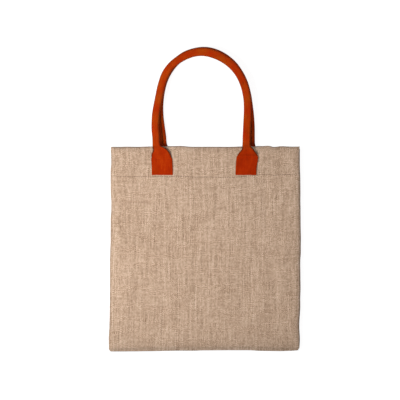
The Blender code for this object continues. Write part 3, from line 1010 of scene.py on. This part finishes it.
def smooth_route(rows, steps):
    """Points, directions and widths along a curve through the rows of a grip's middle line."""
    points = [Vector((row["across"], row["up"], 0)) for row in rows]
    before = points[0] * 2 - points[1]
    after = points[-1] * 2 - points[-2]
    ends = [before] + points + [after]
    slopes = [(ends[k + 1] - ends[k - 1]) / 2 for k in range(1, len(ends) - 1)]
    route = []
    for k in range(len(points) - 1):
        for step in range(steps + (k == len(points) - 2)):
            t = step / steps
            here = bent(points[k], slopes[k], points[k + 1], slopes[k + 1], t)
            heading = points[k] * (6 * t**2 - 6 * t)
            heading += slopes[k] * (3 * t**2 - 4 * t + 1)
            heading += points[k + 1] * (6 * t - 6 * t**2)
            heading += slopes[k + 1] * (3 * t**2 - 2 * t)
            width = rows[k]["grip"] + (rows[k + 1]["grip"] - rows[k]["grip"]) * smooth(t)
            route.append((here, heading.normalized(), width))
    return route


def curled(width, curl, cut):
    """Half section of the strip: its flat half, how far its edge turns, and its half length.

    width is its outside width, curl the radius of its middle where it turns, cut its full width.
    """
    folded = (cut - width) / ((2 * math.pi - 2) * curl - SUEDE)
    turn = math.pi * (1 - (1 - min(max(folded, 0.0), 1.0)) ** FOLD_HASTE)
    bulge = math.sin(min(turn, math.pi / 2))
    flat = max((width - (2 * curl + SUEDE) * bulge) / 2, 0.0)
    flap = 0.0
    if turn > math.pi * MEETING:
        flap = min(max(cut / 2 - flat - curl * turn, 0.0), max(flat - SEAM_OPEN / 2, 0.0))
    half = flat + curl * turn + flap
    if flat < SEAM_OPEN:
        half -= SEAM_OPEN / 2
    return flat, turn, half


def on_section(flat, turn, curl, along):
    """Place and outward direction, across and inwards, at a distance from the strip's middle."""
    side = math.copysign(1, along)
    past = abs(along) - flat
    if past <= 0:
        return along, 0.0, 0.0, -1.0
    angle = min(past / curl, turn)
    straight = past - angle * curl
    across = flat + curl * math.sin(angle) + straight * math.cos(angle)
    depth = curl * (1 - math.cos(angle)) + straight * math.sin(angle)
    return side * across, depth, side * math.sin(angle), -math.cos(angle)


def handle_end(rows, sideways):
    """Stations up one end of a handle, from the foot of its tab to the start of its grip."""
    shoulder = next(row["up"] for row in rows[1:] if row["up"] > SHOULDERS)
    widest = through(rows, shoulder, "right") - through(rows, shoulder, "left")
    grip_cut = 2 * math.pi * GRIP_CURL
    count = round((rows[-1]["up"] - rows[0]["up"]) / TAB_ROW)
    ups = [rows[0]["up"], rows[1]["up"]]
    ups += [rows[1]["up"] + (rows[-1]["up"] - rows[1]["up"]) * k / count for k in range(1, count)]
    found = []
    for up in ups:
        left, right = through(rows, up, "left"), through(rows, up, "right")
        narrowed = smooth((up - shoulder) / NECK)
        cut = right - left if up <= shoulder else widest + (grip_cut - widest) * narrowed
        found.append({
            "middle": Vector(((left + right) / 2, up, 0)),
            "sideways": sideways,
            "width": right - left,
            "curl": max(TIGHT_CURL, through(rows, up, "curl")),
            "cut": cut,
            "square": LEFT_SQUARENESS if sideways.x > 0 else RIGHT_SQUARENESS,
        })
    return found


def handle_stations(left, right, arch):
    found = handle_end(left, Vector((1, 0, 0)))
    route = smooth_route(arch, ARCH_STEPS)
    for k, (here, heading, width) in enumerate(route):
        width *= 1 + UNEVEN_GRIP * lattice.noise(here / UNEVEN_RUN)
        curl = (width - SUEDE) / 2
        along = k / (len(route) - 1)
        found.append({
            "middle": here,
            "sideways": Vector((heading.y, -heading.x, 0)),
            "width": width,
            "curl": curl,
            "cut": 2 * math.pi * curl,
            "square": LEFT_SQUARENESS + (RIGHT_SQUARENESS - LEFT_SQUARENESS) * along**2,
        })
    return found + handle_end(right, Vector((-1, 0, 0)))[::-1]


def rolled_share(curl):
    """0 where the strip folds tightly, 1 where it is a round grip."""
    return (curl - TIGHT_CURL) / (GRIP_CURL - TIGHT_CURL)


def strip_point(station, along, out, underside, outward):
    """A point of the strip at a distance from its middle line and off its middle surface."""
    flat, turn, half = curled(station["width"], station["curl"], station["cut"])
    curl = station["curl"]
    across, depth, lean, rise = on_section(flat, turn, curl, along * half)
    across += lean * out
    depth += rise * out
    if curl > TIGHT_CURL:
        centre = Vector((across, depth - curl))
        turned = centre.normalized()
        power = station["square"]
        squarer = (abs(turned.x) ** power + abs(turned.y) ** power) ** (-1 / power)
        centre *= 1 + (squarer - 1) * min(rolled_share(curl), 1.0)
        across, depth = centre.x, centre.y + curl
    low = underside(station["middle"].y) + SUEDE / 2
    if outward > 0:
        height = low + station["curl"] * (1 - math.cos(turn)) - depth
    else:
        height = low + depth
    place = station["middle"] + station["sideways"] * across
    return place + Vector((-ORIGIN_ACROSS, -ORIGIN_UP, height))


def strip_outline(half):
    """Round one section: share of its half length, distance off its middle, and edge wear."""
    full = SUEDE / 2
    inset = 1 - EDGE_ROUND / half
    shares = [2 * k / ACROSS_FACES - 1 for k in range(ACROSS_FACES + 1)]
    across = [share * inset for share in shares]
    worn = [CUT_WEAR if abs(share) == inset else 0.0 for share in across]
    around = [(share, full, cut) for share, cut in zip(across, worn)]
    around += [(1.0, full - EDGE_ROUND, 1.0), (1.0, EDGE_ROUND - full, 1.0)]
    around += [(share, -full, 0.0) for share in reversed(across)]
    around += [(-1.0, EDGE_ROUND - full, 1.0), (-1.0, full - EDGE_ROUND, 1.0)]
    return around


def painted_shoulder_shade(grip_share, lean):
    """Painted shade darkening the strip where it folds in from its tab, on the faces that lean."""
    shade = smooth(grip_share * SHADE_HASTE) * smooth(SHADE_END - SHADE_FALL * grip_share)
    return shade * smooth((abs(lean) - SHADE_LEAN) / SHADE_SPREAD)


def suede_strip(name, stations_along, underside, outward):
    """The rolled strip as a closed mesh, with a UV map in metres, its cut edges and its grip
    marked, and its folded shoulders marked for painted shade.
    """
    shape = bmesh.new()
    suede_map = shape.loops.layers.uv.new("suede")
    cut_mark = shape.verts.layers.float.new("cut_edge")
    grip_mark = shape.verts.layers.float.new("on_grip")
    # Marks where painted shade darkens the folded shoulders
    painted_shade_mark = shape.verts.layers.float.new("shoulder")
    place_of = {}
    rings = []
    length = 0.0
    for index, station in enumerate(stations_along):
        flat, turn, half = curled(station["width"], station["curl"], station["cut"])
        grip_share = rolled_share(station["curl"])
        if index:
            length += (station["middle"] - stations_along[index - 1]["middle"]).length
        end = index in (0, len(stations_along) - 1)
        ring = []
        for share, out, cut in strip_outline(half):
            vertex = shape.verts.new(strip_point(station, share, out, underside, outward))
            vertex[cut_mark] = max(cut, float(end))
            vertex[grip_mark] = smooth(grip_share)
            lean = on_section(flat, turn, station["curl"], share * half)[2]
            vertex[painted_shade_mark] = painted_shoulder_shade(grip_share, lean)
            place_of[vertex] = (share * half, length)
            ring.append(vertex)
        rings.append(ring)
    count = len(rings[0])
    faces = []
    for first, second in zip(rings, rings[1:]):
        for k in range(count):
            n = (k + 1) % count
            faces.append(shape.faces.new((first[k], first[n], second[n], second[k])))
    outer = ACROSS_FACES + 1
    for ring in (rings[0], rings[-1]):
        top = [ring[-1]] + ring[:outer] + [ring[outer]]
        below = [ring[-2]] + ring[outer + 2:-2][::-1] + [ring[outer + 1]]
        for k in range(len(top) - 1):
            faces.append(shape.faces.new((top[k], top[k + 1], below[k + 1], below[k])))
    for face in faces:
        mapped(face, suede_map, place_of)
    mesh = finished(shape, name)
    mesh.set_sharp_from_angle(angle=SHARP_CORNER)
    return shown(name, mesh), length


def front_under(up):
    """The front handle lies on the front, then comes down onto the back one."""
    return ON_BAG + (ON_HANDLE - ON_BAG) * smooth((up - BAG_HEIGHT) / DESCENT)


def rust_suede():
    """Split suede: short nap brushed every way, paler and more orange on the grip, browned at its
    cut edges, with painted shade on its folded shoulders and towards the strip's right end.
    """
    grip_red = (0.44, 0.056, 0.0025, 1)
    deep_red = (0.43, 0.014, 0.0004, 1)
    handled_brown = (0.40, 0.080, 0.0024, 1)
    pale_fleck = (0.62, 0.17, 0.030, 1)
    # Near-black painted shade for the shoulders' folded faces
    painted_fold_shade = (0.070, 0.012, 0.0020, 1)
    edge_brown = (0.30, 0.072, 0.0080, 1)
    made, tree = bare_material("rust_suede", 0.88)
    _, along, mottle = laid_out(tree, "suede")

    def marked(name):
        node = tree.nodes.new("ShaderNodeAttribute")
        node.attribute_name = name
        return node.outputs["Fac"]

    def mixed(share, first, second):
        inputs = {"Factor": share, "A": first, "B": second}
        return wired(tree, "ShaderNodeMix", inputs, data_type="RGBA")

    brushed = mottle(80.0, 55.0, 0.7, 3.0)
    streaks = mottle(420.0, 60.0, 2.3, 2.0)
    nap = mottle(900.0, 800.0, 5.1, 3.0)
    tone = total(tree, scaled(tree, brushed, 0.22, 0.5), (streaks, 0.12), (nap, 0.15))
    # Painted shade: darker along the strip from its left leg to its right end, away from the key
    # light
    tone = maths(tree, "ADD", tone, eased(tree, along, 0.15, 0.55, 0.0, -0.12))
    colour = toned(
        tree, tone,
        (0.0, (0.225, 0.011, 0.0004)),
        (0.5, (0.375, 0.022, 0.0006)),
        (1.0, (0.535, 0.058, 0.0025)),
    )
    on_grip = marked("on_grip")
    handled = scaled(tree, on_grip, 0.85, 0.15)
    bloom = mottle(70.0, 42.0, 8.8, 2.0)
    flecks = mottle(330.0, 260.0, 3.9, 1.0)
    marks = (
        (on_grip, eased(tree, streaks, -1.2, 1.0, 0.2, 0.5), grip_red),
        (handled, eased(tree, bloom, -0.1, 0.9, 0.0, 0.5), deep_red),
        (handled, eased(tree, bloom, 0.1, -0.9, 0.0, 0.35), handled_brown),
        (handled, eased(tree, flecks, 1.0, 1.5, 0.0, 0.5), pale_fleck),
        # Painted shade on the faces that fold down at the shoulders
        (marked("shoulder"), 0.8, painted_fold_shade),
        (eased(tree, marked("cut_edge"), 0.35, 1.0, 0.0, 0.85), 1.0, edge_brown),
    )
    for place, share, mark in marks:
        colour = mixed(maths(tree, "MULTIPLY", place, share), colour, mark)
    fuzz = total(tree, scaled(tree, nap, 0.5), (brushed, 0.35))
    dressed(tree, {
        "Base Color": colour,
        "Normal": bumped(tree, fuzz, 0.25 * MM, 0.8),
        "Roughness": scaled(tree, nap, 0.04, 0.88),
        "Sheen Weight": 0.22,
        "Sheen Roughness": 0.45,
        "Sheen Tint": (1.0, 0.40, 0.10, 1),
        "Specular IOR Level": 0.03,
    })
    return made


suede = rust_suede()
front_stations = handle_stations(FRONT_LEFT, FRONT_RIGHT, FRONT_ARCH)
front_handle, front_length = suede_strip("front_handle", front_stations, front_under, 1)
front_handle.data.materials.append(suede)
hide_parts("handle_front")
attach(front_handle, "root")


# Its stitching: a box of stitches inside the edge of each tab, and slanting ones that draw
# the grip's two edges together.

SUEDE_THREAD = 0.36 * MM    # radius
SUEDE_STEP = 4.2 * MM
SUEDE_STITCH = 3.3 * MM
SUEDE_DIP = 0.5 * MM
SUEDE_UNEVEN = 0.06
SEAM_SLANT = 0.95           # radians
BOX_INSET = 3.4 * MM
BOX_TOP = 383 * MM
BOX_TALL = 18               # steps of its path up a side
BOX_WIDE = 20               # and across
GRIP_CLOSED = 414 * MM      # above this a grip's edges meet


def tab_box(rows, underside, outward):
    """A closed path inside the edge of one tab, on its outside."""
    foot = rows[0]["up"] + BOX_INSET
    height = SUEDE if outward > 0 else 0.0

    def at(share, up):
        left = through(rows, up, "left") + BOX_INSET
        right = through(rows, up, "right") - BOX_INSET
        place = Vector((left + (right - left) * share, up, underside(up) + height))
        return place - Vector((ORIGIN_ACROSS, ORIGIN_UP, 0))

    path = [at(0, foot + (BOX_TOP - foot) * k / BOX_TALL) for k in range(BOX_TALL)]
    path += [at(k / BOX_WIDE, BOX_TOP) for k in range(BOX_WIDE)]
    path += [at(1, BOX_TOP - (BOX_TOP - foot) * k / BOX_TALL) for k in range(BOX_TALL)]
    path += [at(1 - k / BOX_WIDE, foot) for k in range(BOX_WIDE + 1)]
    return path


def grip_seam(stations_along, underside, outward):
    """The line where the grip's edges meet, on its hidden side."""
    closed = [s for s in stations_along if s["middle"].y > GRIP_CLOSED]
    path = []
    for station in closed:
        roll = 2 * station["curl"] + SUEDE
        height = underside(station["middle"].y) + (0.0 if outward > 0 else roll)
        path.append(station["middle"] + Vector((-ORIGIN_ACROSS, -ORIGIN_UP, height)))
    return path


def handle_stitches(name, ends, stations_along, underside, outward, seed):
    facing = (0, 0, outward)
    paths = [(tab_box(rows, underside, outward), facing, 0.0) for rows in ends]
    paths.append((grip_seam(stations_along, underside, outward), (0, 0, -outward), SEAM_SLANT))
    made = sewn(
        name, paths, rust_thread, seed, Step=SUEDE_STEP, Length=SUEDE_STITCH, Dip=SUEDE_DIP,
        Radius=SUEDE_THREAD, Unevenness=SUEDE_UNEVEN,
    )
    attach(made, "root")
    return made


rust_thread = spun_thread("rust_thread", (0.22, 0.012, 0.0008), (0.44, 0.034, 0.002))
front_stitches = handle_stitches(
    "front_handle_stitches", (FRONT_LEFT, FRONT_RIGHT), front_stations, front_under, 1, seed=8,
)

# ---------------------------------------------------------------------------------------
# Back handle. The same strip sewn to the back of the bag, its suede side out, so that its
# tabs and grip lie under the bag and the front handle.

LEAN_START = 403 * MM       # where an end begins to lean towards its grip's middle
LEAN_RUN = 25 * MM
# Half of each end: height, half width, and the radius that its edges curl to
BACK_END = rows_of(
    "up half curl",
    (352, 20.4, 1.2), (353, 21.1, 1.2), (372, 21.5, 1.2), (386, 21.1, 1.2),
    (396, 17.0, 1.2), (403, 12.8, 1.3), (411, 8.9, 1.9), (415, 7.9, 4.2), (420, 7.6, 6.0),
    (428, 7.5, 6.4),
)
# Middle line of the back grip, left to right
BACK_ARCH = rows_of(
    "across up",
    (-85.4, 428.0), (-89.2, 455.0), (-91.3, 476.0), (-91.0, 497.0), (-88.4, 519.0),
    (-82.6, 541.0), (-73.5, 560.0), (-59.5, 578.0), (-41.0, 592.0), (-21.0, 599.2),
    (-2.0, 601.4), (17.0, 598.3), (36.5, 589.4), (54.5, 575.0), (68.5, 556.5),
    (78.4, 536.0), (84.8, 512.0), (88.2, 490.0), (90.6, 468.0), (91.8, 447.0),
    (92.0, 428.0),
)
for row in BACK_ARCH:
    row["grip"] = GRIP


def back_under(up):
    return 0.0


def back_end(centre, grip_middle):
    """One end of the back handle, leaning from its tab's middle to its grip's."""
    rows = []
    for row in BACK_END:
        lean = smooth((row["up"] - LEAN_START) / LEAN_RUN)
        middle = centre + (grip_middle - centre) * lean
        rows.append({**row, "left": middle - row["half"], "right": middle + row["half"]})
    return rows


back_ends = (
    back_end(BACK_CENTRES[0], BACK_ARCH[0]["across"]),
    back_end(BACK_CENTRES[1], BACK_ARCH[-1]["across"]),
)
back_stations = handle_stations(*back_ends, BACK_ARCH)
back_handle, back_length = suede_strip("back_handle", back_stations, back_under, -1)
back_handle.data.materials.append(suede)
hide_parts("handle_back")
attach(back_handle, "root")
back_stitches = handle_stitches(
    "back_handle_stitches", back_ends, back_stations, back_under, -1, seed=15,
)

# ---------------------------------------------------------------------------------------
# Table and light. A plain white table, lit softly from low on the left, with a weaker
# light all round.

TABLE_REACH = 8.0
TABLE_TOP = -0.5 * MM
TABLE_GLOW = 0.85
WORLD_GLOW = 0.20
table_mesh = bpy.data.meshes.new("table")
turns = ((-1, -1), (1, -1), (1, 1), (-1, 1))
corners = [(x * TABLE_REACH, y * TABLE_REACH, TABLE_TOP) for x, y in turns]
table_mesh.from_pydata(corners, [], [(0, 1, 2, 3)])
table = shown("table", table_mesh)
table_white, table_tree = bare_material("table_white", 0.9)
dressed(table_tree, {
    "Base Color": (0.35, 0.35, 0.35, 1),
    "Emission Color": (1, 1, 1, 1),
    "Emission Strength": TABLE_GLOW,
})
table_mesh.materials.append(table_white)
table.visible_diffuse = False


def soft_light(name, place, size, power, colour):
    lamp = bpy.data.lights.new(name, "AREA")
    lamp.shape = "DISK"
    lamp.size = size
    lamp.energy = power
    lamp.color = colour
    made = bpy.data.objects.new(name, lamp)
    made.location = place
    made.rotation_euler = (-Vector(place)).to_track_quat("-Z", "Y").to_euler()
    made.visible_camera = False
    bpy.context.scene.collection.objects.link(made)


soft_light(
    "key", place=(-0.63, -0.06, 1.0), size=0.46, power=11.7, colour=(1.0, 0.985, 0.96),
)
soft_light(
    "fill", place=(0.6, 0.25, 2.4), size=1.6, power=14.0, colour=(0.97, 0.985, 1.0),
)
world = bpy.data.worlds.new("studio")
world.use_nodes = True
sky = world.node_tree.nodes["Background"]
sky.inputs["Color"].default_value = (1, 1, 1, 1)
sky.inputs["Strength"].default_value = WORLD_GLOW
bpy.context.scene.world = world
bpy.context.scene.view_settings.view_transform = "Standard"

# ---------------------------------------------------------------------------------------
# Camera, straight above the bag.

VIEW_WIDTH = 800 * MM
VIEW_CENTRE = (-10.2 * MM, -1.0 * MM)
VIEW_HEIGHT = 6.0
camera = bpy.data.cameras.new("camera")
camera.sensor_width = 36
camera.lens = camera.sensor_width * (VIEW_HEIGHT - BAG_DEPTH) / VIEW_WIDTH
camera.clip_end = 50
viewer = bpy.data.objects.new("camera", camera)
viewer.location = (*VIEW_CENTRE, VIEW_HEIGHT)
bpy.context.scene.collection.objects.link(viewer)
bpy.context.scene.camera = viewer
